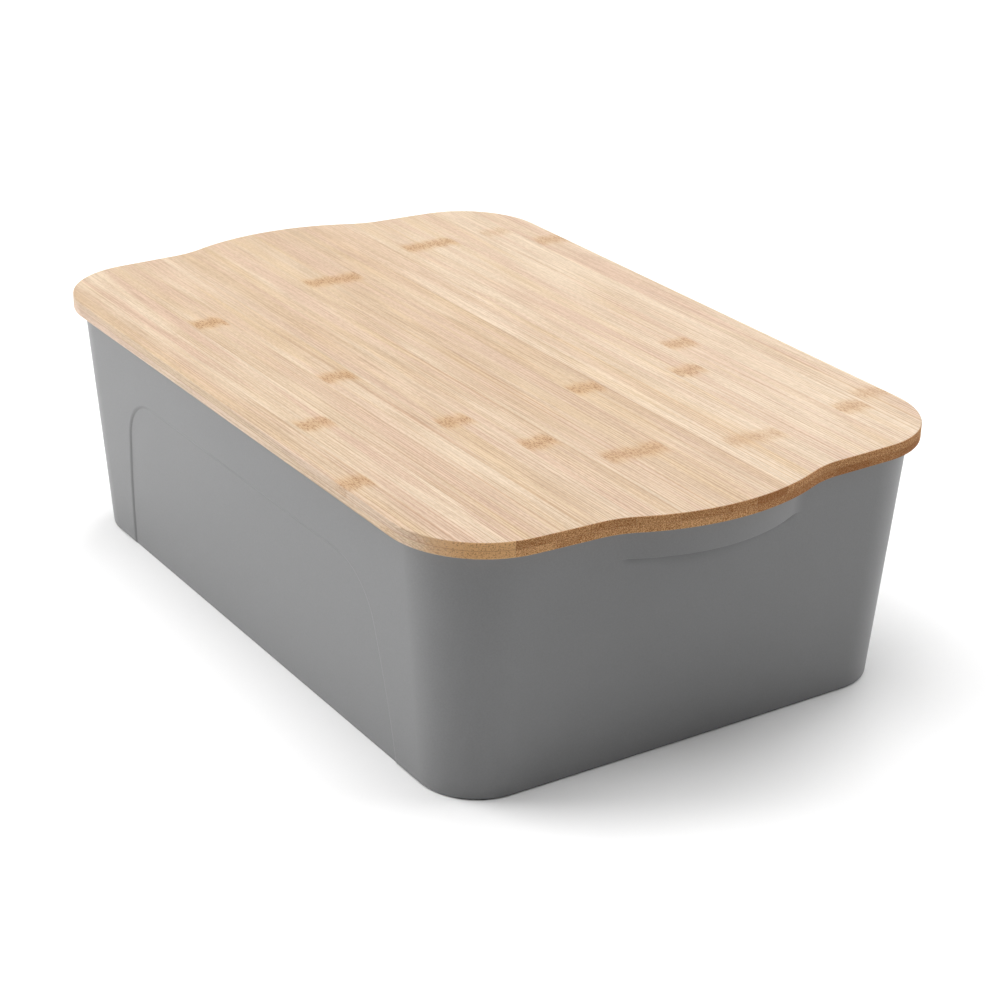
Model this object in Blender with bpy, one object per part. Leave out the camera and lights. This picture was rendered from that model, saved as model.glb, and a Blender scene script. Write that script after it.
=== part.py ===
"""Bread bin: a tapered plastic tub with a loose lid laminated from two plies of bamboo strips.

Metres, +Z up, +X along the length. The origin is on the ground, under the middle of the tub.
"""

import collections
import math

import bmesh
import bpy

# Lid board
LID_HALF_LENGTH = 0.1843  # at the corners; the ends bow out and swell past this
LID_HALF_WIDTH = 0.130
LID_CORNER = 0.0418
LID_BOW = 0.0041
LID_SWELL = 0.0116
LID_SWELL_REACH = 0.0605
LID_SWELL_FILLET = 0.045
LID_UNDERSIDE = 0.1151
PLY = 0.00355
TOP_EASE = 0.0007
UNDER_EASE = 0.0005

# Bamboo strips, which lie along X and share their joints in both plies
STRIP_PITCH = 0.0176
STRIP_COUNT = 15
FIRST_JOINT = -0.116
GLUE_GAP = 0.0003

# Tub
OVERHANG = 0.0052  # of the lid past the tub's rim, all round
WALL = 0.0024
RIM_TOP = LID_UNDERSIDE + 0.0023
RIM_EASE = 0.0005
BASE_HALF_LENGTH = 0.1718
BASE_HALF_WIDTH = 0.1155
BASE_CORNER = 0.0275
BASE_BOW = 0.0004
BASE_EDGE = 0.0012
FOOT_WIDTH = 0.008
BASE_RECESS = 0.0012
FLOOR_FILLET = 0.006

# Hand grip under each end of the rim: the wall steps out above a flat ledge
GRIP_LEDGE = 0.0997
GRIP_SWELL = 0.0107
GRIP_REACH = 0.048
GRIP_FILLET = 0.017

# Recessed arch on each long side
ARCH_FOOT = 0.1248
ARCH_TOP = 0.0846
ARCH_LEAN = 0.09
ARCH_LEG_RADIUS = 0.45
ARCH_SHOULDER = 0.028
ARCH_DEPTH = 0.00065
ARCH_DRAFT = 0.0006

# Groove in the lower ply, which drops over the rim
GROOVE_DEPTH = RIM_TOP - LID_UNDERSIDE + 0.0003
GROOVE_CLEARANCE = 0.0007

CORNER_STEPS = 9
END_STEPS = 3
SWELL_STEPS = 26
SHOULDER_STEPS = 10
LEG_STEPS = 6
EDGE_STEPS = 3
MERGE_DISTANCE = 0.000002

PLASTIC_GREY = (0.145, 0.145, 0.146)
BAMBOO_PALE = (0.80, 0.62, 0.43)
BAMBOO_TAN = (0.72, 0.53, 0.34)

# A rounded rectangle whose two ends bow out, with a swell in the middle of each end. The swell is
# a round crown between two fillets, and it ends at y = -reach and +reach.
Outline = collections.namedtuple("Outline", "half_length half_width corner bow swell reach fillet")


def inset(outline, distance):
    """The parallel outline that lies this far inside."""
    return outline._replace(
        half_length=outline.half_length - distance,
        half_width=outline.half_width - distance,
        corner=outline.corner - distance,
        fillet=outline.fillet + distance,
    )


def swell_height(outline, y):
    """How far the swell stands out at y."""
    y = abs(y)
    if y >= outline.reach:
        return 0.0
    turn = 2 * math.atan(outline.swell / outline.reach)
    crown = outline.reach / math.sin(turn) - outline.fillet
    if y < crown * math.sin(turn):
        return outline.swell - crown + math.sqrt(crown**2 - y**2)
    return outline.fillet - math.sqrt(outline.fillet**2 - (outline.reach - y) ** 2)


def outline_points(outline, swollen):
    """The outline as x, y points, counter-clockwise from the -Y side of the +X end."""
    end_radius = (outline.half_width**2 + outline.bow**2) / (2 * outline.bow)
    end_centre = outline.half_length + outline.bow - end_radius
    corner_y = outline.half_width - outline.corner
    corner_x = end_centre + math.sqrt((end_radius - outline.corner) ** 2 - corner_y**2)
    end_angle = math.asin(corner_y / (end_radius - outline.corner))
    end_y = end_radius * math.sin(end_angle)

    corner_arc = []
    for step in range(CORNER_STEPS):
        angle = end_angle + (math.pi / 2 - end_angle) * (1 - step / CORNER_STEPS)
        x = corner_x + outline.corner * math.cos(angle)
        corner_arc.append((x, -corner_y - outline.corner * math.sin(angle)))

    ys = [-end_y + (end_y - outline.reach) * step / END_STEPS for step in range(END_STEPS)]
    ys += [outline.reach * (2 * step / SWELL_STEPS - 1) for step in range(SWELL_STEPS // 2)]
    ys = ys + [0.0] + [-y for y in reversed(ys)]
    end = []
    for y in ys:
        x = end_centre + math.sqrt(end_radius**2 - y**2)
        end.append((x + (swell_height(outline, y) if swollen else 0.0), y))

    half = corner_arc + end + [(x, -y) for x, y in reversed(corner_arc)]
    return half + [(-x, -y) for x, y in half]


def ring(outline, z, swollen=True):
    return [(x, y, z) for x, y in outline_points(outline, swollen)]


def loft(name, rings, closed=False):
    """A mesh through rings of points. Its ends are capped, unless the last ring joins the first."""
    count = len(rings[0])
    points = [point for one_ring in rings for point in one_ring]
    faces = []
    for level in range(len(rings) if closed else len(rings) - 1):
        here = level * count
        above = (level + 1) % len(rings) * count
        for side in range(count):
            following = (side + 1) % count
            faces.append((here + side, here + following, above + following, above + side))
    if not closed:
        last = (len(rings) - 1) * count
        faces.append(tuple(reversed(range(count))))
        faces.append(tuple(range(last, last + count)))
    mesh = bpy.data.meshes.new(name)
    mesh.from_pydata(points, [], faces)
    merge_shared_points(mesh)
    return mesh


def merge_shared_points(mesh):
    """Rings that step out only in places share their other points."""
    shape = bmesh.new()
    shape.from_mesh(mesh)
    bmesh.ops.remove_doubles(shape, verts=shape.verts, dist=MERGE_DISTANCE)
    shape.to_mesh(mesh)
    shape.free()


def principled(name, colour, roughness):
    material = bpy.data.materials.new(name)
    material.use_nodes = True
    shader = material.node_tree.nodes["Principled BSDF"]
    shader.inputs["Base Color"].default_value = (*colour, 1.0)
    shader.inputs["Roughness"].default_value = roughness
    shader.inputs["Metallic"].default_value = 0.0
    return material


def add_object(name, mesh, parent=None):
    part = bpy.data.objects.new(name, mesh)
    part.parent = parent
    bpy.context.collection.objects.link(part)
    return part


def add_tool(name, mesh, parent=None):
    """An object that only shapes others: it is drawn as wire and isn't part of the bin."""
    tool = add_object(name, mesh, parent)
    tool.hide_render = True
    tool.display_type = "WIRE"
    return tool


def add_boolean(part, operation, tool):
    modifier = part.modifiers.new(tool.name, "BOOLEAN")
    modifier.operation = operation
    modifier.object = tool
    modifier.solver = "EXACT"


def smooth(mesh, degrees):
    mesh.shade_smooth()
    mesh.set_sharp_from_angle(angle=math.radians(degrees))


def lid_outline():
    plan = (LID_HALF_LENGTH, LID_HALF_WIDTH, LID_CORNER, LID_BOW)
    return Outline(*plan, LID_SWELL, LID_SWELL_REACH, LID_SWELL_FILLET)


def wall_outline(z):
    """The tub's outside at height z, without its arches. The swells are its grips."""
    base = (BASE_HALF_LENGTH, BASE_HALF_WIDTH, BASE_CORNER, BASE_BOW)
    rim = inset(lid_outline(), OVERHANG)
    plan = [low + (high - low) * z / LID_UNDERSIDE for low, high in zip(base, rim)]
    return Outline(*plan, GRIP_SWELL, GRIP_REACH, GRIP_FILLET)


def wall_y(z):
    """Distance from the middle plane to the outside of a long wall."""
    return wall_outline(z).half_width


def quarter_steps():
    return [math.pi / 2 * step / EDGE_STEPS for step in range(EDGE_STEPS + 1)]


def tub_rings():
    """Rings from the middle of the underside, up the outside, over the rim and down to the floor."""
    foot = inset(wall_outline(0), BASE_EDGE + FOOT_WIDTH)
    rings = [
        ring(inset(foot, BASE_RECESS), BASE_RECESS, swollen=False),
        ring(foot, 0.0, swollen=False),
    ]
    for angle in quarter_steps():
        z = BASE_EDGE * (1 - math.cos(angle))
        edge = BASE_EDGE * (1 - math.sin(angle))
        rings.append(ring(inset(wall_outline(z), edge), z, swollen=False))
    rings.append(ring(wall_outline(GRIP_LEDGE), GRIP_LEDGE, swollen=False))
    rings.append(ring(wall_outline(GRIP_LEDGE), GRIP_LEDGE))
    rings.append(ring(wall_outline(RIM_TOP - RIM_EASE), RIM_TOP - RIM_EASE))
    rings.append(ring(inset(wall_outline(RIM_TOP), RIM_EASE), RIM_TOP))
    rings.append(ring(inset(wall_outline(RIM_TOP), WALL - RIM_EASE), RIM_TOP))
    rings.append(ring(inset(wall_outline(RIM_TOP - RIM_EASE), WALL), RIM_TOP - RIM_EASE))
    pocket = GRIP_LEDGE + WALL
    rings.append(ring(inset(wall_outline(pocket), WALL), pocket))
    rings.append(ring(inset(wall_outline(pocket), WALL), pocket, swollen=False))
    for angle in quarter_steps():
        z = BASE_RECESS + WALL + FLOOR_FILLET * (1 - math.sin(angle))
        edge = WALL + FLOOR_FILLET * (1 - math.cos(angle))
        rings.append(ring(inset(wall_outline(z), edge), z, swollen=False))
    return rings


def arch_points(grow, foot):
    """The arch as x, z points, from its +X foot over the top: leaning legs and round shoulders."""

    def leg_x(z):
        return ARCH_FOOT - ARCH_LEAN * z - z**2 / (2 * ARCH_LEG_RADIUS)

    shoulder = ARCH_TOP - ARCH_SHOULDER
    for _ in range(4):
        tilt = math.atan(ARCH_LEAN + shoulder / ARCH_LEG_RADIUS)
        shoulder = ARCH_TOP - ARCH_SHOULDER * (1 - math.sin(tilt))
    side = []
    for step in range(LEG_STEPS):
        z = foot + (shoulder - foot) * step / LEG_STEPS
        side.append((leg_x(z) + grow, z))
    centre_x = leg_x(shoulder) - ARCH_SHOULDER * math.cos(tilt)
    centre_z = ARCH_TOP - ARCH_SHOULDER
    for step in range(SHOULDER_STEPS + 1):
        angle = tilt + (math.pi / 2 - tilt) * step / SHOULDER_STEPS
        radius = ARCH_SHOULDER + grow
        side.append((centre_x + radius * math.cos(angle), centre_z + radius * math.sin(angle)))
    return side + [(-x, z) for x, z in reversed(side)]


def arch_prism(name, side, layers):
    """A prism on the long wall at side -1 or +1. Its layers run outwards, each with its
    growth, foot height and depth in the wall."""
    rings = []
    for grow, foot, depth in layers:
        rings.append([(-side * x, side * (wall_y(z) - depth), z) for x, z in arch_points(grow, foot)])
    return loft(name, rings)


def make_tub():
    """The shell, with a pad inside behind each arch's recess so that the wall keeps its thickness."""
    tub = add_object("tub", loft("tub", tub_rings()))
    in_floor = BASE_RECESS + WALL / 2
    pad_layers = [(WALL / 2, in_floor, WALL + ARCH_DEPTH), (WALL / 2, in_floor, WALL - ARCH_DEPTH / 2)]
    below = -BASE_EDGE
    recess_layers = [
        (0.0, below, ARCH_DEPTH),
        (ARCH_DRAFT, below, 0.0),
        (ARCH_DRAFT, below, -2 * BASE_EDGE),
    ]
    for side, place in ((-1, "front"), (1, "back")):
        pad = arch_prism(f"arch_pad_{place}", side, pad_layers)
        add_boolean(tub, "UNION", add_tool(pad.name, pad))
        recess = arch_prism(f"arch_recess_{place}", side, recess_layers)
        add_boolean(tub, "DIFFERENCE", add_tool(recess.name, recess))
    smooth(tub.data, 35)
    tub.data.materials.append(principled("tub", PLASTIC_GREY, 0.42))
    return tub


def make_strips(prefix, ply, low, high, lid):
    """One ply's strips: bars along X, side by side, each trimmed to the ply's outline."""
    for index in range(STRIP_COUNT):
        near = FIRST_JOINT + STRIP_PITCH * (index - 1) + GLUE_GAP / 2
        far = FIRST_JOINT + STRIP_PITCH * index - GLUE_GAP / 2
        if index == 0:
            near = -LID_HALF_WIDTH - PLY
        if index == STRIP_COUNT - 1:
            far = LID_HALF_WIDTH + PLY
        reach = LID_HALF_LENGTH + LID_BOW + LID_SWELL + PLY
        corners = [(-reach, near), (reach, near), (reach, far), (-reach, far)]
        name = f"{prefix}_{index + 1:02d}"
        bar = loft(name, [[(x, y, z) for x, y in corners] for z in (low, high)])
        strip = add_object(name, bar, lid)
        add_boolean(strip, "INTERSECT", ply)
        smooth(bar, 30)
        tone = 0.5 + 0.5 * math.sin(2.4 * index + len(prefix))
        colour = [a + (b - a) * tone for a, b in zip(BAMBOO_PALE, BAMBOO_TAN)]
        bar.materials.append(principled(name, colour, 0.5))


def make_lid():
    """The lid's own frame has z = 0 at its underside, and it lifts along its Z axis."""
    lid = bpy.data.objects.new("lid", None)
    lid.location = (0.0, 0.0, LID_UNDERSIDE)
    bpy.context.collection.objects.link(lid)
    edge = lid_outline()
    eased = inset(edge, TOP_EASE)
    top_rings = [ring(edge, PLY), ring(edge, 2 * PLY - TOP_EASE), ring(eased, 2 * PLY)]
    top_ply = add_tool("top_ply", loft("top_ply", top_rings), lid)
    make_strips("lid_top_strip", top_ply, PLY + GLUE_GAP / 2, 2 * PLY + TOP_EASE, lid)

    eased = inset(edge, UNDER_EASE)
    under_rings = [ring(eased, 0.0), ring(edge, UNDER_EASE), ring(edge, PLY)]
    under_ply = add_tool("under_ply", loft("under_ply", under_rings), lid)
    outer = inset(wall_outline(LID_UNDERSIDE), -GROOVE_CLEARANCE)
    inner = inset(wall_outline(LID_UNDERSIDE), WALL + GROOVE_CLEARANCE)
    groove_rings = [
        ring(outer, -PLY),
        ring(outer, GROOVE_DEPTH),
        ring(inner, GROOVE_DEPTH),
        ring(inner, -PLY),
    ]
    groove = add_tool("rim_groove", loft("rim_groove", groove_rings, closed=True), lid)
    add_boolean(under_ply, "DIFFERENCE", groove)
    make_strips("lid_under_strip", under_ply, -UNDER_EASE, PLY - GLUE_GAP / 2, lid)


def main():
    for item in list(bpy.data.objects):
        bpy.data.objects.remove(item)
    make_tub()
    make_lid()


main()
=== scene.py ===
"""Bread bin: a moulded grey tub under a loose lid that is laminated from bamboo strips.

Metres, +Z up, +X along the length. The origin is on the ground, under the middle of the tub. The
fine shell and the fine strips made here stand for the CAD model's plain ones.
"""

import collections
import math

import bmesh
import bpy
from mathutils import Matrix, Vector


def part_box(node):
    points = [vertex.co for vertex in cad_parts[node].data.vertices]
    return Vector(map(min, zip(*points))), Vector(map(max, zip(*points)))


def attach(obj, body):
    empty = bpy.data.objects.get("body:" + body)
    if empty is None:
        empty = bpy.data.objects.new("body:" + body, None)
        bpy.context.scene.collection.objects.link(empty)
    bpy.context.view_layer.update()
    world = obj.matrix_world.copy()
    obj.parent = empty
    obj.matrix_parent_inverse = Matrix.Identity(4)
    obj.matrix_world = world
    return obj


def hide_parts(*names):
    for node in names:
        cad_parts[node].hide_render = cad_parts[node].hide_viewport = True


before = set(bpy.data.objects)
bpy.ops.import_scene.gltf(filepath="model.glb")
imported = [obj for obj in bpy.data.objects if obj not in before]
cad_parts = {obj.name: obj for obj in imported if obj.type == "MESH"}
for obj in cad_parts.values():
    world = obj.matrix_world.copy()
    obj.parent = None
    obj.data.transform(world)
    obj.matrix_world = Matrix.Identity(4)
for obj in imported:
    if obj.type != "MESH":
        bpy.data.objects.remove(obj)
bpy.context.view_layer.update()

# Read from the frame
STRIP_COUNT = 15
MIDDLE_STRIP = 8
TOP_NODES = [f"lid_top_strip_{number:02d}" for number in range(1, STRIP_COUNT + 1)]
UNDER_NODES = [f"lid_under_strip_{number:02d}" for number in range(1, STRIP_COUNT + 1)]
RIM_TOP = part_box("tub")[1].z
LID_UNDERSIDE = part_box(UNDER_NODES[MIDDLE_STRIP - 1])[0].z
LID_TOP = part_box(TOP_NODES[MIDDLE_STRIP - 1])[1].z
LID_HALF_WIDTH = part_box(TOP_NODES[-1])[1].y
LID_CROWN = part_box(TOP_NODES[MIDDLE_STRIP - 1])[1].x

# Lid board
LID_CORNER = 0.0418
LID_BOW = 0.0041
LID_SWELL = 0.0116
LID_SWELL_REACH = 0.0605
LID_SWELL_FILLET = 0.045
ARRIS = 0.0005
HAIRLINE = 0.00003  # between neighbouring strips, and between the plies
MIDDLE = (LID_UNDERSIDE + LID_TOP) / 2
GROOVE_HEADROOM = 0.0003  # over the tub's rim
GROOVE_DEPTH = RIM_TOP - LID_UNDERSIDE + GROOVE_HEADROOM
GROOVE_CLEARANCE = 0.0007  # on each side of the rim

# Tub
OVERHANG = 0.0052  # of the lid past the tub's rim, all round
WALL = 0.0024
RIM_EASE = 0.0009
BASE_HALF_LENGTH = 0.1718
BASE_HALF_WIDTH = 0.1155
BASE_CORNER = 0.0275
BASE_BOW = 0.0004
BASE_EDGE = 0.0012
FOOT_WIDTH = 0.008
FOOT_EASE = 0.0005
BASE_RECESS = 0.0012
FLOOR_FILLET = 0.006

# Hand grip under each end of the rim: the wall steps out above a flat ledge
GRIP_LEDGE = 0.0997
GRIP_SWELL = 0.0107
GRIP_REACH = 0.048
GRIP_FILLET = 0.017
LEDGE_FILLET = 0.0004
LEDGE_EDGE = 0.0004
POCKET_EDGE = 0.0008

# Recessed arch on each long side
ARCH_FOOT = 0.1248
ARCH_TOP = 0.0846
ARCH_LEAN = 0.09
ARCH_LEG_RADIUS = 0.45
ARCH_SHOULDER = 0.028
ARCH_DEPTH = 0.00065
ARCH_EDGE = 0.0030  # radius of the round edge where the wall falls into the recess
ARCH_TURN = math.acos(1 - ARCH_DEPTH / ARCH_EDGE)
ARCH_RUN = ARCH_EDGE * math.sin(ARCH_TURN)

# Fineness
CORNER_STEPS = 22
END_STEPS = 8
SWELL_STEPS = 72
SHOULDER_STEPS = 20
LEG_STEPS = 14
EDGE_STEPS = 8
ARRIS_STEPS = 4
FOOT_STEPS = 3
MERGE_DISTANCE = 0.000002
LID_SHARP_DEGREES = 32
TUB_SHARP_DEGREES = 40

# A rounded rectangle whose two ends bow out, with a swell in the middle of each end. The swell is
# a round crown between two fillets, and it ends at y = -reach and +reach.
Outline = collections.namedtuple("Outline", "half_length half_width corner bow swell reach fillet")


# --- Outlines and lofts -------------------------------------------------------------------------


def inset(outline, distance):
    """The parallel outline that lies this far inside."""
    return outline._replace(
        half_length=outline.half_length - distance,
        half_width=outline.half_width - distance,
        corner=outline.corner - distance,
        fillet=outline.fillet + distance,
    )


def swell_height(outline, y):
    """How far the swell stands out at y."""
    y = abs(y)
    if y >= outline.reach:
        return 0.0
    turn = 2 * math.atan(outline.swell / outline.reach)
    crown = outline.reach / math.sin(turn) - outline.fillet
    if y < crown * math.sin(turn):
        return outline.swell - crown + math.sqrt(crown**2 - y**2)
    return outline.fillet - math.sqrt(outline.fillet**2 - (outline.reach - y) ** 2)


def plain_points(outline):
    """The outline without its swells, as x, y points, counter-clockwise from -Y of the +X end."""
    end_radius = (outline.half_width**2 + outline.bow**2) / (2 * outline.bow)
    end_centre = outline.half_length + outline.bow - end_radius
    corner_y = outline.half_width - outline.corner
    corner_x = end_centre + math.sqrt((end_radius - outline.corner) ** 2 - corner_y**2)
    end_angle = math.asin(corner_y / (end_radius - outline.corner))
    end_y = end_radius * math.sin(end_angle)

    corner_arc = []
    for step in range(CORNER_STEPS):
        angle = end_angle + (math.pi / 2 - end_angle) * (1 - step / CORNER_STEPS)
        x = corner_x + outline.corner * math.cos(angle)
        corner_arc.append((x, -corner_y - outline.corner * math.sin(angle)))

    ys = [-end_y + (end_y - outline.reach) * step / END_STEPS for step in range(END_STEPS)]
    ys += [outline.reach * (2 * step / SWELL_STEPS - 1) for step in range(SWELL_STEPS // 2)]
    ys = ys + [0.0] + [-y for y in reversed(ys)]
    end = [(end_centre + math.sqrt(end_radius**2 - y**2), y) for y in ys]
    half = corner_arc + end + [(x, -y) for x, y in reversed(corner_arc)]
    return half + [(-x, -y) for x, y in half]


def add_swell(outline, points, share=1.0):
    return [(x + math.copysign(share * swell_height(outline, y), x), y) for x, y in points]


def at_height(points, z):
    return [(x, y, z) for x, y in points]


def loft(name, rings, closed=False):
    """A mesh through rings of points. Its ends are capped, unless the last ring joins the first."""
    count = len(rings[0])
    points = [point for one_ring in rings for point in one_ring]
    faces = []
    for level in range(len(rings) if closed else len(rings) - 1):
        here = level * count
        above = (level + 1) % len(rings) * count
        for side in range(count):
            following = (side + 1) % count
            faces.append((here + side, here + following, above + following, above + side))
    if not closed:
        last = (len(rings) - 1) * count
        faces.append(tuple(reversed(range(count))))
        faces.append(tuple(range(last, last + count)))
    mesh = bpy.data.meshes.new(name)
    mesh.from_pydata(points, [], faces)
    merge_shared_points(mesh)
    return mesh


def merge_shared_points(mesh):
    """Rings that step out only in places share their other points."""
    shape = bmesh.new()
    shape.from_mesh(mesh)
    bmesh.ops.remove_doubles(shape, verts=shape.verts, dist=MERGE_DISTANCE)
    shape.to_mesh(mesh)
    shape.free()


def quarter_turn(steps=EDGE_STEPS):
    """(sine, 1 - cosine) of angles from 0 to 90 degrees."""
    angles = [math.pi / 2 * step / steps for step in range(steps + 1)]
    return [(math.sin(angle), 1 - math.cos(angle)) for angle in angles]


def add_object(name, mesh):
    made = bpy.data.objects.new(name, mesh)
    bpy.context.scene.collection.objects.link(made)
    return made


def cut(name, mesh, tools):
    """The mesh after Booleans with the tools, which are (operation, mesh) pairs."""
    blank = add_object(name, mesh)
    helpers = []
    for operation, tool_mesh in tools:
        helper = add_object(tool_mesh.name, tool_mesh)
        modifier = blank.modifiers.new(tool_mesh.name, "BOOLEAN")
        modifier.operation = operation
        modifier.object = helper
        modifier.solver = "EXACT"
        helpers.append(helper)
    depsgraph = bpy.context.evaluated_depsgraph_get()
    result = bpy.data.meshes.new_from_object(blank.evaluated_get(depsgraph))
    for helper in [blank, *helpers]:
        bpy.data.objects.remove(helper)
    result.name = name
    return result


def finish_piece(name, mesh, body, nodes, material, sharp_degrees):
    """A shown piece: shaded round except at sharp edges, hung under its body's empty, with the CAD
    parts it stands for hidden.
    """
    mesh.shade_smooth()
    mesh.set_sharp_from_angle(angle=math.radians(sharp_degrees))
    mesh.materials.clear()
    mesh.materials.append(material)
    piece = add_object(name, mesh)
    weighted = piece.modifiers.new("weighted_normals", "WEIGHTED_NORMAL")
    weighted.keep_sharp = True
    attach(piece, body)
    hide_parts(*nodes)
    return piece


# --- Tub ----------------------------------------------------------------------------------------


def lid_outline():
    half_length = LID_CROWN - LID_SWELL - LID_BOW
    plan = (half_length, LID_HALF_WIDTH, LID_CORNER, LID_BOW)
    return Outline(*plan, LID_SWELL, LID_SWELL_REACH, LID_SWELL_FILLET)


def wall_outline(z, inward=0.0):
    """The tub's outside at height z, without its arches. The swells are its grips."""
    base = (BASE_HALF_LENGTH, BASE_HALF_WIDTH, BASE_CORNER, BASE_BOW)
    rim = inset(lid_outline(), OVERHANG)
    plan = [low + (high - low) * z / LID_UNDERSIDE for low, high in zip(base, rim)]
    return inset(Outline(*plan, GRIP_SWELL, GRIP_REACH, GRIP_FILLET), inward)


def wall_ring(z, inward=0.0, swell=0.0):
    outline = wall_outline(z, inward)
    return at_height(add_swell(outline, plain_points(outline), swell), z)


def grip_step(level, inward, concave, convex):
    """Rings of the step out over the grips, at height level: a concave edge, then a convex one.

    Where a grip fades into the wall, both edges shrink with it.
    """
    outline = wall_outline(level, inward)
    points = plain_points(outline)
    rings = []
    for is_convex in (False, True):
        for rise, run in quarter_turn():
            ring = []
            for x, y in points:
                height = swell_height(outline, y)
                scale = min(1.0, height / (concave + convex))
                if is_convex:
                    out = height - scale * convex * (1 - rise)
                    z = level + scale * convex * run
                else:
                    out = scale * concave * run
                    z = level - scale * concave * (1 - rise)
                ring.append((x + math.copysign(out, x), y, z))
            rings.append(ring)
    return rings


def tub_rings():
    """Rings from the underside, over the foot ring, up the outside, over the rim and down inside."""
    foot_inside = BASE_EDGE + FOOT_WIDTH
    rings = [wall_ring(BASE_RECESS, foot_inside + BASE_RECESS + FOOT_EASE)]
    rings.append(wall_ring(BASE_RECESS, foot_inside + BASE_RECESS))
    for rise, run in reversed(quarter_turn(FOOT_STEPS)):
        rings.append(wall_ring(FOOT_EASE * run, foot_inside - FOOT_EASE * (1 - rise)))
    for rise, run in quarter_turn():
        rings.append(wall_ring(BASE_EDGE * run, BASE_EDGE * (1 - rise)))
    rings.append(wall_ring(GRIP_LEDGE - 2 * LEDGE_FILLET))
    rings += grip_step(GRIP_LEDGE, 0.0, LEDGE_FILLET, LEDGE_EDGE)
    rings.append(wall_ring(GRIP_LEDGE + 2 * LEDGE_EDGE, swell=1.0))
    for rise, run in quarter_turn():
        rings.append(wall_ring(RIM_TOP - RIM_EASE * (1 - rise), RIM_EASE * run, swell=1.0))
    for rise, run in reversed(quarter_turn()):
        rings.append(wall_ring(RIM_TOP - RIM_EASE * (1 - rise), WALL - RIM_EASE * run, swell=1.0))
    pocket = GRIP_LEDGE + WALL
    rings.append(wall_ring(pocket + 2 * POCKET_EDGE, WALL, swell=1.0))
    rings += reversed(grip_step(pocket, WALL, LEDGE_EDGE, POCKET_EDGE))
    rings.append(wall_ring(pocket - 2 * POCKET_EDGE, WALL))
    for rise, run in quarter_turn():
        z = BASE_RECESS + WALL + FLOOR_FILLET * (1 - rise)
        rings.append(wall_ring(z, WALL + FLOOR_FILLET * run))
    return rings


def arch_points(grow, foot):
    """The arch as x, z points, from its +X foot over the top: leaning legs and round shoulders."""

    def leg_x(z):
        return ARCH_FOOT - ARCH_LEAN * z - z**2 / (2 * ARCH_LEG_RADIUS)

    # The shoulder meets the leg where both tilt alike, which a few rounds settle
    shoulder = ARCH_TOP - ARCH_SHOULDER
    for _ in range(4):
        tilt = math.atan(ARCH_LEAN + shoulder / ARCH_LEG_RADIUS)
        shoulder = ARCH_TOP - ARCH_SHOULDER * (1 - math.sin(tilt))
    side = []
    for step in range(LEG_STEPS):
        z = foot + (shoulder - foot) * step / LEG_STEPS
        side.append((leg_x(z) + grow, z))
    centre_x = leg_x(shoulder) - ARCH_SHOULDER * math.cos(tilt)
    centre_z = ARCH_TOP - ARCH_SHOULDER
    for step in range(SHOULDER_STEPS + 1):
        angle = tilt + (math.pi / 2 - tilt) * step / SHOULDER_STEPS
        radius = ARCH_SHOULDER + grow
        side.append((centre_x + radius * math.cos(angle), centre_z + radius * math.sin(angle)))
    return side + [(-x, z) for x, z in reversed(side)]


def arch_prism(name, side, layers):
    """A prism on the long wall at side -1 or +1. Its layers run outwards, each with its
    growth, foot height and depth in the wall."""
    rings = []
    for grow, foot, depth in layers:
        ring = []
        for x, z in arch_points(grow, foot):
            ring.append((-side * x, side * (wall_outline(z).half_width - depth), z))
        rings.append(ring)
    return loft(name, rings)


def arch_step_layers(foot, depth):
    """Layers from the recess's sharp inner edge, at depth, up a round edge to the wall's surface."""
    layers = []
    for step in range(EDGE_STEPS + 1):
        turn = ARCH_TURN * (1 - step / EDGE_STEPS)
        grow = ARCH_RUN - ARCH_EDGE * math.sin(turn)
        fall = ARCH_EDGE * (1 - math.cos(turn))
        layers.append((grow, foot, depth - ARCH_DEPTH + fall))
    return layers


def tub_mesh():
    """The shell, with a pad inside behind each arch's recess so that the wall keeps its thickness."""
    in_floor = BASE_RECESS + WALL / 2
    below = -BASE_EDGE
    tools = []
    for side, place in ((-1, "front"), (1, "back")):
        pad = arch_step_layers(in_floor, WALL + ARCH_DEPTH)
        pad.append((ARCH_RUN, in_floor, WALL - ARCH_DEPTH / 4))
        pad = [(WALL / 2 + grow, foot, depth) for grow, foot, depth in pad]
        tools.append(("UNION", arch_prism(f"arch_pad_{place}", side, pad)))
        recess = arch_step_layers(below, ARCH_DEPTH)
        recess.append((ARCH_RUN, below, -2 * BASE_EDGE))
        tools.append(("DIFFERENCE", arch_prism(f"arch_recess_{place}", side, recess)))
    return cut("tub_shell", loft("tub_blank", tub_rings()), tools)


def make_tub(material):
    finish_piece(
        "tub_shell", tub_mesh(), "tub", ["tub"], material, TUB_SHARP_DEGREES
    )


# --- Lid ----------------------------------------------------------------------------------------


def lid_ring(z, inward=0.0):
    outline = inset(lid_outline(), inward)
    return at_height(add_swell(outline, plain_points(outline)), z)


def top_ply():
    rings = [lid_ring(MIDDLE + HAIRLINE / 2)]
    for rise, run in quarter_turn(ARRIS_STEPS):
        rings.append(lid_ring(LID_TOP - ARRIS * (1 - rise), ARRIS * run))
    return loft("top_ply", rings)


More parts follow.
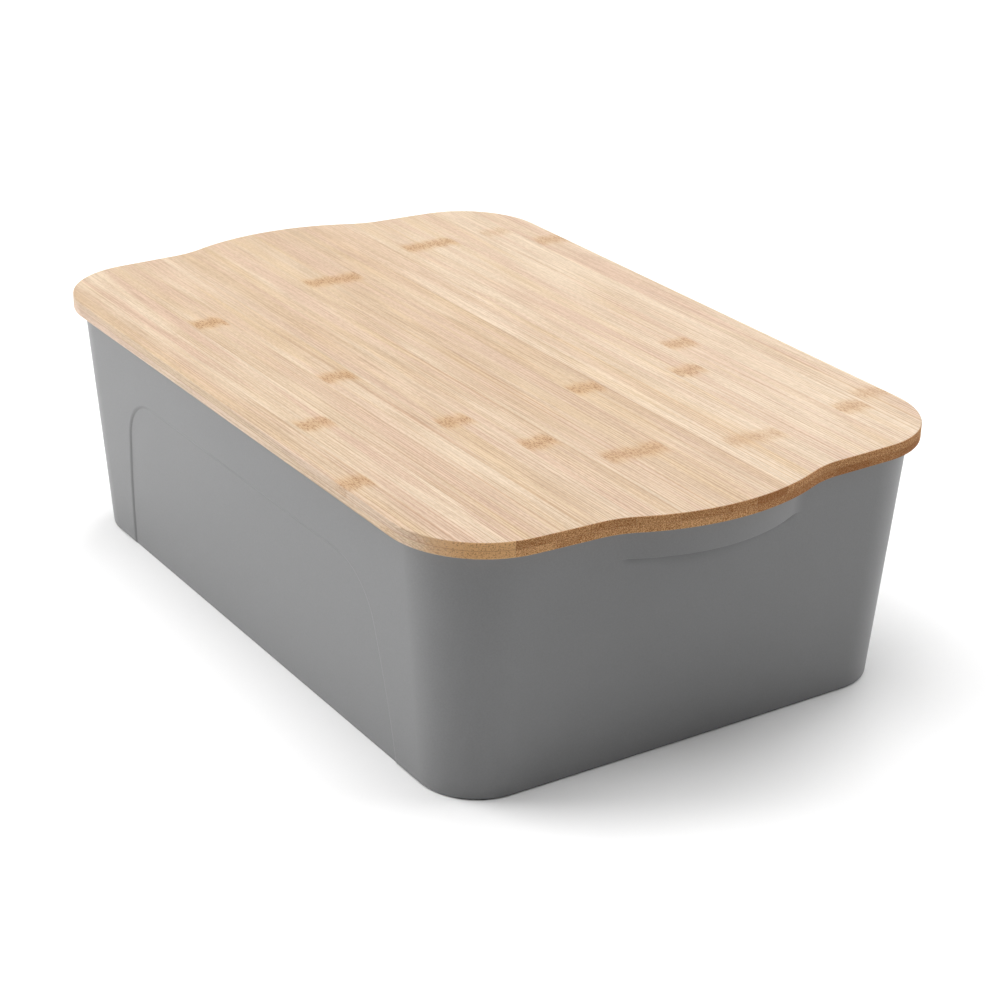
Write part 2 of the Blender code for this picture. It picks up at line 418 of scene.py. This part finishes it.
def under_ply():
    """The lower ply, with the groove that drops over the tub's rim."""
    rings = []
    for rise, run in reversed(quarter_turn(ARRIS_STEPS)):
        rings.append(lid_ring(LID_UNDERSIDE + ARRIS * (1 - rise), ARRIS * run))
    rings.append(lid_ring(MIDDLE - HAIRLINE / 2))
    groove_top = LID_UNDERSIDE + GROOVE_DEPTH
    groove_rings = []
    for inward, z in (
        (-GROOVE_CLEARANCE, LID_UNDERSIDE - ARRIS),
        (-GROOVE_CLEARANCE, groove_top),
        (WALL + GROOVE_CLEARANCE, groove_top),
        (WALL + GROOVE_CLEARANCE, LID_UNDERSIDE - ARRIS),
    ):
        outline = wall_outline(LID_UNDERSIDE, inward)
        groove_rings.append(at_height(add_swell(outline, plain_points(outline)), z))
    groove = loft("rim_groove", groove_rings, closed=True)
    return cut("under_ply", loft("under_blank", rings), [("DIFFERENCE", groove)])


def strip_joints():
    """The y of both sides of each strip, halfway between its neighbours' CAD solids."""
    boxes = [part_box(node) for node in TOP_NODES]
    joints = [(left[1].y + right[0].y) / 2 for left, right in zip(boxes, boxes[1:])]
    return [-LID_HALF_WIDTH - 2 * ARRIS, *joints, LID_HALF_WIDTH + 2 * ARRIS]


def bar(name, near, far, low, high):
    reach = LID_CROWN + ARRIS
    corners = [(-reach, near), (reach, near), (reach, far), (-reach, far)]
    return loft(name, [at_height(corners, low), at_height(corners, high)])


# What sets the strips apart. Tone runs from 0, cream, to 1, tan; blush from 0, yellow, to 1, pink.
Strip = collections.namedtuple("Strip", "tone blush end_tone under_end_tone knuckles")

# Each knuckle is the x of its middle, its strength and, where it runs over a joint, the y of its
# middle and its half width.
STRIPS = [
    Strip(0.50, 0.6, -0.10, 0.07, [(0.106, 0.9)]),
    Strip(0.10, 0.9, -0.05, 0.07, [(0.044, 0.9)]),
    Strip(0.65, 0.6, 0.92, 0.53, [(-0.0895, 1.0)]),
    Strip(0.45, 0.5, 0.78, 0.84, [(0.001, 0.9)]),
    Strip(0.50, 0.6, 0.92, 0.66, [(0.0715, 0.9)]),
    Strip(0.50, 0.6, 0.71, 0.66, [(0.109, 1.0)]),
    Strip(0.55, 0.6, 0.92, 0.52, [(-0.1146, 0.9, -0.008, 0.017), (0.138, 0.9, -0.008, 0.017)]),
    Strip(0.60, 0.6, 0.90, 0.73, [(-0.1146, 0.9, -0.008, 0.017), (0.138, 0.9, -0.008, 0.017)]),
    Strip(0.75, 0.6, 1.40, 1.02, [(0.0675, 1.0)]),
    Strip(0.25, 0.4, 0.90, 1.22, [(0.1505, 0.6, 0.045, 0.016)]),
    Strip(0.15, 0.6, 0.87, 1.18, [(-0.139, 0.9, 0.0625, 0.017), (0.1505, 0.6, 0.045, 0.016)]),
    Strip(0.00, 0.7, 0.87, 1.36, [(-0.139, 0.9, 0.0625, 0.017), (0.073, 0.9)]),
    Strip(0.20, 0.6, 0.85, 1.10, [(0.043, 0.9)]),
    Strip(0.10, 0.7, 0.92, 1.34, [(-0.14, 0.4), (0.144, 0.9)]),
    Strip(0.30, 0.8, 0.60, 0.60, [(-0.1155, 0.7), (0.136, 0.6)]),
]
NO_KNUCKLE = (9.0, 0.0, 1.0, 0.0)

# The lower ply's face, which hangs inside the tub
UNDER_KNUCKLE_REACH = 0.17
UNDER_KNUCKLE_TURN = 5.1  # of the angle that scatters the knuckles, from strip to strip
UNDER_KNUCKLE_START = 1.0
UNDER_KNUCKLE_STRENGTH = 0.8
UNDER_TONE = 0.6
UNDER_TONE_SHARE = 0.4

# How far the grain's noise moves from strip to strip and from ply to ply, so that no two match
STRIP_SHIFT = 0.37
PLY_SHIFT = 7.3


def top_marks(strip, near, far):
    """Two (x, y, half width, strength) marks for the knuckles of a strip from near to far."""
    marks = []
    for x, strength, *place in strip.knuckles:
        y, half_width = place or ((near + far) / 2, (far - near) / 2)
        marks.append((x, y, half_width, strength))
    return (marks + [NO_KNUCKLE, NO_KNUCKLE])[:2]


def under_marks(index, near, far):
    """The same for a strip of the lower ply, which has one knuckle."""
    angle = UNDER_KNUCKLE_TURN * index + UNDER_KNUCKLE_START
    x = UNDER_KNUCKLE_REACH * math.sin(angle)
    knuckle = (x, (near + far) / 2, (far - near) / 2, UNDER_KNUCKLE_STRENGTH)
    return [knuckle, NO_KNUCKLE]


def mark_faces(mesh, name, value):
    """Gives every face the same number or vector, which the bamboo's material reads."""
    is_number = isinstance(value, float)
    attribute = mesh.attributes.new(name, "FLOAT" if is_number else "FLOAT_VECTOR", "FACE")
    for item in attribute.data:
        if is_number:
            item.value = value
        else:
            item.vector = value


def make_strip(name, ply, side_joints, heights, marks, values):
    """One strip of a ply, with what its material reads."""
    near, far = side_joints
    blank = bar("bar", near + HAIRLINE / 2, far - HAIRLINE / 2, *heights)
    mesh = cut(name, blank, [("INTERSECT", ply.copy())])
    for mark, mark_name in zip(marks, ("knuckle_a", "knuckle_b")):
        mark_faces(mesh, mark_name, mark[:3])
        mark_faces(mesh, mark_name + "_strength", mark[3])
    for value_name, value in values.items():
        mark_faces(mesh, value_name, value)
    return mesh


def make_lid(material):
    joints = strip_joints()
    top = top_ply()
    under = under_ply()
    for index, strip in enumerate(STRIPS):
        name = f"top_strip_{index + 1:02d}"
        sides = (joints[index], joints[index + 1])
        heights = (MIDDLE, LID_TOP + ARRIS)
        values = {
            "tone": strip.tone,
            "blush": strip.blush,
            "end_tone": strip.end_tone,
            "grain_shift": STRIP_SHIFT * index,
        }
        mesh = make_strip(name, top, sides, heights, top_marks(strip, *sides), values)
        nodes = [TOP_NODES[index]]
        finish_piece(name, mesh, "lid", nodes, material, LID_SHARP_DEGREES)

    for index, strip in enumerate(STRIPS):
        name = f"under_strip_{index + 1:02d}"
        sides = (joints[index], joints[index + 1])
        heights = (LID_UNDERSIDE - ARRIS, MIDDLE)
        values = {
            "tone": UNDER_TONE - UNDER_TONE_SHARE * strip.tone,
            "blush": strip.blush,
            "end_tone": strip.under_end_tone,
            "grain_shift": STRIP_SHIFT * index + PLY_SHIFT,
        }
        mesh = make_strip(name, under, sides, heights, under_marks(index, *sides), values)
        nodes = [UNDER_NODES[index]]
        finish_piece(name, mesh, "lid", nodes, material, LID_SHARP_DEGREES)


# --- Materials ----------------------------------------------------------------------------------


class Shader:
    """One material's nodes. A plain value or another node's output goes wherever an input is."""

    def __init__(self, name):
        self.material = bpy.data.materials.new(name)
        self.material.use_nodes = True
        self.nodes = self.material.node_tree.nodes
        self.links = self.material.node_tree.links
        self.surface = self.nodes["Principled BSDF"]

    def feed(self, socket, value):
        if isinstance(value, bpy.types.NodeSocket):
            self.links.new(value, socket)
        else:
            socket.default_value = value

    def node(self, kind, inputs, output=0, **settings):
        made = self.nodes.new(kind)
        for key, value in settings.items():
            setattr(made, key, value)
        for key, value in inputs.items():
            self.feed(made.inputs[key], value)
        return made.outputs[output]

    def math(self, operation, first, second=0.0):
        return self.node("ShaderNodeMath", {0: first, 1: second}, operation=operation)

    def add(self, first, second):
        return self.math("ADD", first, second)

    def times(self, first, second):
        return self.math("MULTIPLY", first, second)

    def fade(self, value, low, high, start=0.0, end=1.0):
        """A smooth change from start, where value is low, to end, where it is high."""
        inputs = {"Value": value, "From Min": low, "From Max": high, "To Min": start, "To Max": end}
        return self.node("ShaderNodeMapRange", inputs, interpolation_type="SMOOTHSTEP")

    def mix(self, share, first, second, blend="MIX"):
        inputs = {0: share, 6: first, 7: second}
        return self.node("ShaderNodeMix", inputs, 2, data_type="RGBA", blend_type=blend)

    def stretch(self, vector, size):
        """Coordinates in which one unit is this size in metres along each axis."""
        scale = tuple(1 / length for length in size)
        inputs = {0: vector, 1: scale}
        return self.node("ShaderNodeVectorMath", inputs, operation="MULTIPLY")

    def noise(self, vector, detail=2.0, roughness=0.5, output=0):
        inputs = {"Vector": vector, "Scale": 1.0, "Detail": detail, "Roughness": roughness}
        return self.node("ShaderNodeTexNoise", inputs, output)

    def cells(self, vector, output=0):
        return self.node("ShaderNodeTexVoronoi", {"Vector": vector, "Scale": 1.0}, output)

    def split(self, vector):
        made = self.nodes.new("ShaderNodeSeparateXYZ")
        self.feed(made.inputs[0], vector)
        return made.outputs

    def attribute(self, name, output="Fac"):
        return self.node("ShaderNodeAttribute", {}, output, attribute_name=name)

    def bump(self, height, distance, strength=1.0):
        inputs = {"Height": height, "Distance": distance, "Strength": strength}
        return self.node("ShaderNodeBump", inputs)

    def place(self):
        return self.node("ShaderNodeTexCoord", {}, "Object")


PLASTIC_GREY = (0.180, 0.181, 0.183, 1.0)
PLASTIC_SPREAD = 0.06  # how far the grey strays, as a share
PLASTIC_ROUGHNESS = (0.40, 0.48)
PLASTIC_IOR = 1.49
ETCH_SIZE = 0.0007
ETCH_DEPTH = 0.00003
FLOW_SIZE = 0.06

# Painted shadow: the plastic's colour is darkened right under a grip's ledge, where the ledge shades
# the wall, over a width that shrinks towards its ends
CREASE_SHADE = 0.72
CREASE_WIDTH = (0.0150, 0.0040)
CREASE_MIDDLE = 0.1 * GRIP_REACH  # where the width starts to shrink
CREASE_FADE = 0.8 * GRIP_REACH  # where the shade starts to fade
CREASE_TOP = 0.0002


def tinted(colour, factor):
    """The colour, this many times as bright."""
    return tuple(factor * value for value in colour[:3]) + (1.0,)


def painted_ledge_shadow(shader, place):
    """What the plastic's colour is multiplied by: 1, and less under a grip's ledge, where it paints
    the ledge's shadow on the wall.
    """
    x, y, z = shader.split(place)
    across = shader.math("ABSOLUTE", y)
    width = shader.fade(across, CREASE_MIDDLE, GRIP_REACH, *CREASE_WIDTH)
    below = shader.math("SUBTRACT", GRIP_LEDGE, z)
    ledge_shadow = shader.fade(shader.math("DIVIDE", below, width), 0.0, 1.0, 1.0, 0.0)
    ledge_shadow = shader.times(ledge_shadow, shader.fade(below, -CREASE_TOP, 0.0))
    ledge_shadow = shader.times(ledge_shadow, shader.fade(across, CREASE_FADE, GRIP_REACH, 1.0, 0.0))
    on_end = shader.fade(shader.math("ABSOLUTE", x), BASE_HALF_WIDTH, BASE_HALF_LENGTH - WALL)
    return shader.fade(shader.times(ledge_shadow, on_end), 0.0, 1.0, 1.0, CREASE_SHADE)


def plastic_material():
    """Polypropylene, moulded in a finely etched tool: satin, with a faint flow in its gloss."""
    shader = Shader("satin_grey_plastic")
    place = shader.place()
    etch = shader.noise(shader.stretch(place, 3 * (ETCH_SIZE,)), 3.0, 0.6)
    flow = shader.noise(shader.stretch(place, 3 * (FLOW_SIZE,)), 2.0)
    deep = tinted(PLASTIC_GREY, 1 - PLASTIC_SPREAD)
    light = tinted(PLASTIC_GREY, 1 + PLASTIC_SPREAD)
    grain = shader.fade(shader.add(shader.times(etch, 0.6), shader.times(flow, 0.4)), 0.3, 0.7)
    # The base colour carries the painted shadow under each grip's ledge
    inputs = {0: shader.mix(grain, deep, light), 3: painted_ledge_shadow(shader, place)}
    colour = shader.node("ShaderNodeVectorMath", inputs, operation="SCALE")
    shader.feed(shader.surface.inputs["Base Color"], colour)
    shader.feed(shader.surface.inputs["Roughness"], shader.fade(flow, 0.2, 0.8, *PLASTIC_ROUGHNESS))
    shader.feed(shader.surface.inputs["Normal"], shader.bump(etch, ETCH_DEPTH, 0.7))
    shader.surface.inputs["IOR"].default_value = PLASTIC_IOR
    return shader.material


CREAM = (0.590, 0.475, 0.355, 1.0)
TAN = (0.470, 0.338, 0.222, 1.0)
STRAW = (0.545, 0.402, 0.250, 1.0)
BLUSH = (0.520, 0.375, 0.278, 1.0)
BUNDLE = (0.790, 0.705, 0.630, 1.0)  # this and the two fibre colours multiply the face's colour
FIBRE_DARK = (0.820, 0.800, 0.775, 1.0)
FIBRE_PALE = (1.100, 1.110, 1.120, 1.0)
KNUCKLE = (0.245, 0.112, 0.036, 1.0)
KNUCKLE_HALO = (0.480, 0.300, 0.150, 1.0)
END_PALE = (0.710, 0.420, 0.195, 1.0)
END_DARK = (0.272, 0.108, 0.036, 1.0)
END_PORE = (0.095, 0.036, 0.010, 1.0)

# Length along the grain and width of the features in it
BANDS = (0.30, 0.010)
CLOUDS = (0.07, 0.020)
ZONES = (0.16, 0.0085)
RIBBONS = (0.075, 0.0026)
ROW_WANDER = (1.2, 0.0050)
FIBRES = (0.035, 0.00045)
FLECKS = (0.0030, 0.00045)
KNUCKLE_WAVE = (0.5, 0.0050)
KNUCKLE_JAG = (0.5, 0.00050)
KNUCKLE_DASH = (0.0022, 0.00050)
PORES = (0.02, 0.0009)
SPECK_SIZE = (0.00030, 0.00056, 0.00026)

# How far each noise moves a strip's tone, either way
BAND_TONE = 0.32
CLOUD_TONE = 0.20
RIBBON_TONE = 0.12
SPECK_TONE = 0.66
FACE_TONES = (-0.3, 1.3)  # the tones of cream and tan
END_TONES = (-0.2, 1.5)  # the tones of pale and dark end grain

BUNDLE_PITCH = 0.00160
BUNDLE_WIDTH = (0.02, 0.24)  # of the full and the faded bundle, as shares of the pitch
ROW_WANDER_REACH = 0.8  # in pitches, either way
ROW_LEAN = 0.9  # of the rows, from the top of a strip to its underside
DASH_EDGE = (0.26, 0.52)
WAVE_REACH = 0.0010
JAG_REACH = 0.0026
CORE_EDGE = (0.0024, 0.0056)
HALO_EDGE = (0.0015, 0.0105)
HALO_STRENGTH = 0.65
END_TURN = (0.20, 0.85)  # how far a face looks along X where end grain starts and is whole
GLUE_EDGE = (0.00008, 0.00025)
GLUE_STRENGTH = 0.35
BAMBOO_RELIEF = 0.00004
BAMBOO_IOR = 1.45


class Bamboo(Shader):
    """A shader for a strip of bamboo, whose fibre bundles lie along X."""

    def __init__(self, name):
        super().__init__(name)
        position = self.place()
        self.axes = self.split(position)
        shift = self.attribute("grain_shift")
        shift_vector = self.node("ShaderNodeCombineXYZ", {0: shift, 1: shift, 2: shift})
        inputs = {0: position, 1: shift_vector}
        self.grain = self.node("ShaderNodeVectorMath", inputs, operation="ADD")

    def along_grain(self, size):
        length, width = size
        return self.stretch(self.grain, (length, width, width))

    def streaks(self, size, detail=2.0, roughness=0.5):
        return self.noise(self.along_grain(size), detail, roughness)

    def three_streaks(self, size):
        """Three independent noises: the channels of one colour noise."""
        return self.split(self.noise(self.along_grain(size), 3.0, 0.6, output=1))

    def wander(self, noise, limits, reach):
        """The noise as a number from -reach to reach."""
        return self.fade(noise, *limits, -reach, reach)

    def off(self, axis, value):
        """The distance from a value along one axis."""
        return self.math("SUBTRACT", self.axes[axis], value)


def zone_colour(shader, clouds, ribbons):
    """The face's colour from its tone, with straw-coloured and pink zones."""
    zones = shader.three_streaks(ZONES)
    blush = shader.attribute("blush")
    tone = shader.attribute("tone")
    tone = shader.add(tone, shader.wander(shader.streaks(BANDS), (0.25, 0.75), BAND_TONE))
    tone = shader.add(tone, shader.wander(clouds, (0.3, 0.7), CLOUD_TONE))
    tone = shader.add(tone, shader.wander(ribbons[2], (0.3, 0.7), RIBBON_TONE))
    face = shader.mix(shader.fade(tone, *FACE_TONES), CREAM, TAN)
    yellow = shader.add(shader.times(zones[0], 0.8), shader.times(ribbons[0], 0.2))
    yellow = shader.times(shader.fade(yellow, 0.44, 0.64), shader.math("SUBTRACT", 1.15, blush))
    face = shader.mix(yellow, face, STRAW)
    pink = shader.add(shader.times(zones[1], 0.8), shader.times(ribbons[1], 0.2))
    pink = shader.times(shader.fade(pink, 0.44, 0.62, 0.0, 1.4), blush)
    return shader.mix(pink, face, BLUSH)


def bundle_rows(shader):
    """Where the rows of fibre bundles show, from 0 to 1."""
    row = shader.add(shader.split(shader.grain)[1], shader.times(shader.axes[2], ROW_LEAN))
    row = shader.times(row, 1 / BUNDLE_PITCH)
    wander = shader.wander(shader.streaks(ROW_WANDER), (0.2, 0.8), ROW_WANDER_REACH)
    row = shader.math("PINGPONG", shader.add(row, wander), 0.5)
    return shader.fade(row, *BUNDLE_WIDTH, 1.0, 0.0)


def fibre_colour(shader, face, bundle, fibre, clouds, ribbons):
    """The face with its bundles, which are stronger in places, and the fibres between them."""
    strong = shader.add(shader.times(clouds, 0.7), shader.times(ribbons[2], 0.3))
    strong = shader.add(strong, shader.times(shader.axes[0], 1.3))
    strong = shader.fade(strong, 0.30, 0.75, 0.15, 1.0)
    dark = shader.mix(1.0, face, BUNDLE, "MULTIPLY")
    face = shader.mix(shader.times(bundle, strong), face, dark)
    fleck = shader.streaks(FLECKS, 1.0)
    threads = shader.add(shader.times(fibre, 0.62), shader.times(fleck, 0.38))
    light = shader.mix(shader.fade(threads, 0.36, 0.64), FIBRE_DARK, FIBRE_PALE)
    return shader.mix(1.0, face, light, "MULTIPLY")


def knuckle_colour(shader, face):
    """The face with its knuckles: dashes, each with a start of its own, in a paler halo."""
    dashes = shader.fade(shader.cells(shader.along_grain(KNUCKLE_DASH)), *DASH_EDGE, 1.0, 0.15)
    wave = shader.wander(shader.streaks(KNUCKLE_WAVE, 1.0), (0.3, 0.7), WAVE_REACH)
    jag_cells = shader.cells(shader.along_grain(KNUCKLE_JAG), "Color")
    jag = shader.wander(shader.split(jag_cells)[0], (0.0, 1.0), JAG_REACH)
    for name in ("knuckle_a", "knuckle_b"):
        x, y, half_width = shader.split(shader.attribute(name, "Vector"))
        strength = shader.attribute(name + "_strength")
        along = shader.add(shader.off(0, x), wave)
        across = shader.math("ABSOLUTE", shader.math("DIVIDE", shader.off(1, y), half_width))
        shown = shader.times(shader.fade(across, 0.75, 1.0, 1.0, 0.0), strength)
        core = shader.math("ABSOLUTE", shader.add(along, jag))
        core = shader.times(shader.fade(core, *CORE_EDGE, 1.0, 0.0), dashes)
        halo = shader.fade(shader.math("ABSOLUTE", along), *HALO_EDGE, HALO_STRENGTH, 0.0)
        face = shader.mix(shader.times(halo, shown), face, KNUCKLE_HALO)
        face = shader.mix(shader.times(core, shown), face, KNUCKLE)
    return face


def end_colour(shader, speck):
    """End grain: pale ground with dark specks, and the bundles' pores."""
    tone = shader.add(shader.attribute("end_tone"), shader.wander(speck, (0.36, 0.64), SPECK_TONE))
    end = shader.mix(shader.fade(tone, *END_TONES), END_PALE, END_DARK)
    pores = shader.fade(shader.cells(shader.along_grain(PORES)), 0.15, 0.4, 0.45, 0.0)
    return shader.mix(pores, end, END_PORE)


def bamboo_material():
    """Flat-sawn bamboo under thin clear oil, with end grain where a face looks along X."""
    shader = Bamboo("oiled_bamboo")
    clouds = shader.streaks(CLOUDS)
    ribbons = shader.three_streaks(RIBBONS)
    bundle = bundle_rows(shader)
    fibre = shader.streaks(FIBRES, 1.0)
    speck = shader.noise(shader.stretch(shader.grain, SPECK_SIZE), 2.0, 0.7)

    face = zone_colour(shader, clouds, ribbons)
    face = fibre_colour(shader, face, bundle, fibre, clouds, ribbons)
    face = knuckle_colour(shader, face)
    normal = shader.split(shader.node("ShaderNodeNewGeometry", {}, "Normal"))
    end_share = shader.fade(shader.math("ABSOLUTE", normal[0]), *END_TURN)
    from_glue = shader.math("ABSOLUTE", shader.off(2, MIDDLE))
    glue = shader.fade(from_glue, *GLUE_EDGE, GLUE_STRENGTH, 0.0)
    colour = shader.mix(end_share, face, end_colour(shader, speck))
    shader.feed(shader.surface.inputs["Base Color"], shader.mix(glue, colour, END_DARK))

    # End grain is rougher and soaks up the oil, so it shines less
    relief = shader.add(shader.times(fibre, 0.5), shader.times(bundle, -0.5))
    relief = shader.add(relief, shader.times(shader.times(speck, end_share), 0.6))
    roughness = shader.add(shader.fade(fibre, 0.2, 0.8, 0.46, 0.58), shader.times(end_share, 0.25))
    gloss = shader.fade(end_share, 0.0, 1.0, 0.5, 0.15)
    shader.feed(shader.surface.inputs["Roughness"], roughness)
    shader.feed(shader.surface.inputs["Specular IOR Level"], gloss)
    shader.feed(shader.surface.inputs["Normal"], shader.bump(relief, BAMBOO_RELIEF, 0.5))
    shader.surface.inputs["IOR"].default_value = BAMBOO_IOR
    return shader.material


FLOOR_GREYS = ((0.86, 0.86, 0.86, 1.0), (0.89, 0.89, 0.89, 1.0))
FLOOR_CLOUDS = 0.4
FLOOR_ROUGHNESS = 0.9
FLOOR_FADE = (1.1, 1.8)  # radii between which the floor gives way to the backdrop


def floor_material():
    shader = Shader("studio_floor")
    place = shader.place()
    faint = shader.noise(shader.stretch(place, 3 * (FLOOR_CLOUDS,)), 1.0)
    shader.feed(shader.surface.inputs["Base Color"], shader.mix(faint, *FLOOR_GREYS))
    shader.surface.inputs["Roughness"].default_value = FLOOR_ROUGHNESS
    radius = shader.node("ShaderNodeVectorMath", {0: place}, 1, operation="LENGTH")
    shader.feed(shader.surface.inputs["Alpha"], shader.fade(radius, *FLOOR_FADE, 1.0, 0.0))
    return shader.material


def backdrop_material():
    shader = Shader("studio_backdrop")
    shader.surface.inputs["Base Color"].default_value = (0.0, 0.0, 0.0, 1.0)
    shader.surface.inputs["Specular IOR Level"].default_value = 0.0
    shader.surface.inputs["Emission Color"].default_value = (1.0, 1.0, 1.0, 1.0)
    shader.surface.inputs["Emission Strength"].default_value = BACKDROP_BRIGHTNESS
    return shader.material


# --- Studio -------------------------------------------------------------------------------------


def look_matrix(position, azimuth, elevation, roll=0.0):
    """A camera's or a lamp's place. Azimuth 0 looks along +Y and 90 along -X; all in degrees."""
    turn, rise, twist = (math.radians(angle) for angle in (azimuth, elevation, roll))
    flat = math.cos(rise)
    back = Vector((math.sin(turn) * flat, -math.cos(turn) * flat, math.sin(rise)))
    right = (-back).cross(Vector((0, 0, 1))).normalized()
    up = back.cross(right)
    tilted_right = right * math.cos(twist) + up * math.sin(twist)
    tilted_up = up * math.cos(twist) - right * math.sin(twist)
    matrix = Matrix((tilted_right, tilted_up, back)).transposed().to_4x4()
    matrix.translation = position
    return matrix


CAMERA_POSITION = Vector((0.8639, -0.5583, 0.5057))
CAMERA_AZIMUTH = 56.33
CAMERA_ELEVATION = 24.09
CAMERA_ROLL = 1.33
CAMERA_LENS = 85.8
CAMERA_SENSOR = 36.0
CAMERA_NEAR = 0.01
FLOOR_HALF_WIDTH = 2.0
FLOOR_SEGMENTS = 8
BACKDROP_RADIUS = 6.0
BACKDROP_SEGMENTS = 24
BACKDROP_BRIGHTNESS = 1.0
WORLD_BRIGHTNESS = 0.09
SOFTBOX_DISTANCE = 3.0
SOFTBOX_SIZE = 1.9

# Each softbox's azimuth, elevation and power in watts
SOFTBOXES = {
    "overhead": (0, 85, 71.0),
    "key": (-43, 40, 51.0),
    "low_key": (-45, 10, 49.0),
    "back_left": (-150, 40, 34.0),
    "back_right": (157, 36, 35.0),
}


def make_camera():
    data = bpy.data.cameras.new("camera")
    data.lens = CAMERA_LENS
    data.sensor_width = CAMERA_SENSOR
    data.clip_start = CAMERA_NEAR
    camera = add_object("camera", data)
    aim = (CAMERA_AZIMUTH, CAMERA_ELEVATION, CAMERA_ROLL)
    camera.matrix_world = look_matrix(CAMERA_POSITION, *aim)
    bpy.context.scene.camera = camera


def stage_object(name, shape, material):
    """Part of the studio, made from a bmesh."""
    mesh = bpy.data.meshes.new(name)
    shape.to_mesh(mesh)
    shape.free()
    mesh.materials.append(material)
    made = add_object(name, mesh)
    return made


def make_floor():
    shape = bmesh.new()
    segments = {"x_segments": FLOOR_SEGMENTS, "y_segments": FLOOR_SEGMENTS}
    bmesh.ops.create_grid(shape, size=FLOOR_HALF_WIDTH, **segments)
    stage_object("floor", shape, floor_material())


def make_backdrop():
    """A pale dome that only the camera sees, so that it adds no light."""
    shape = bmesh.new()
    segments = {"u_segments": 2 * BACKDROP_SEGMENTS, "v_segments": BACKDROP_SEGMENTS}
    bmesh.ops.create_uvsphere(shape, radius=BACKDROP_RADIUS, **segments)
    backdrop = stage_object("backdrop", shape, backdrop_material())
    backdrop.visible_diffuse = False
    backdrop.visible_glossy = False
    backdrop.visible_transmission = False
    backdrop.visible_shadow = False


def softbox(name, azimuth, elevation, power):
    """A square lamp that looks at the bin from that direction."""
    data = bpy.data.lights.new(name, "AREA")
    data.shape = "SQUARE"
    data.size = SOFTBOX_SIZE
    data.energy = power
    lamp = add_object(name, data)
    lamp.matrix_world = look_matrix(Vector((0, 0, 0)), azimuth, elevation)
    away = lamp.matrix_world.to_3x3() @ Vector((0, 0, SOFTBOX_DISTANCE))
    lamp.location = away + Vector((0, 0, LID_TOP / 2))


def make_studio():
    world = bpy.data.worlds.new("studio")
    world.use_nodes = True
    sky = world.node_tree.nodes["Background"]
    sky.inputs["Color"].default_value = (1.0, 1.0, 1.0, 1.0)
    sky.inputs["Strength"].default_value = WORLD_BRIGHTNESS
    bpy.context.scene.world = world
    for name, (azimuth, elevation, power) in SOFTBOXES.items():
        softbox(name, azimuth, elevation, power)
    bpy.context.scene.view_settings.view_transform = "Standard"
    make_floor()
    make_backdrop()


make_camera()
make_studio()
make_tub(plastic_material())
make_lid(bamboo_material())
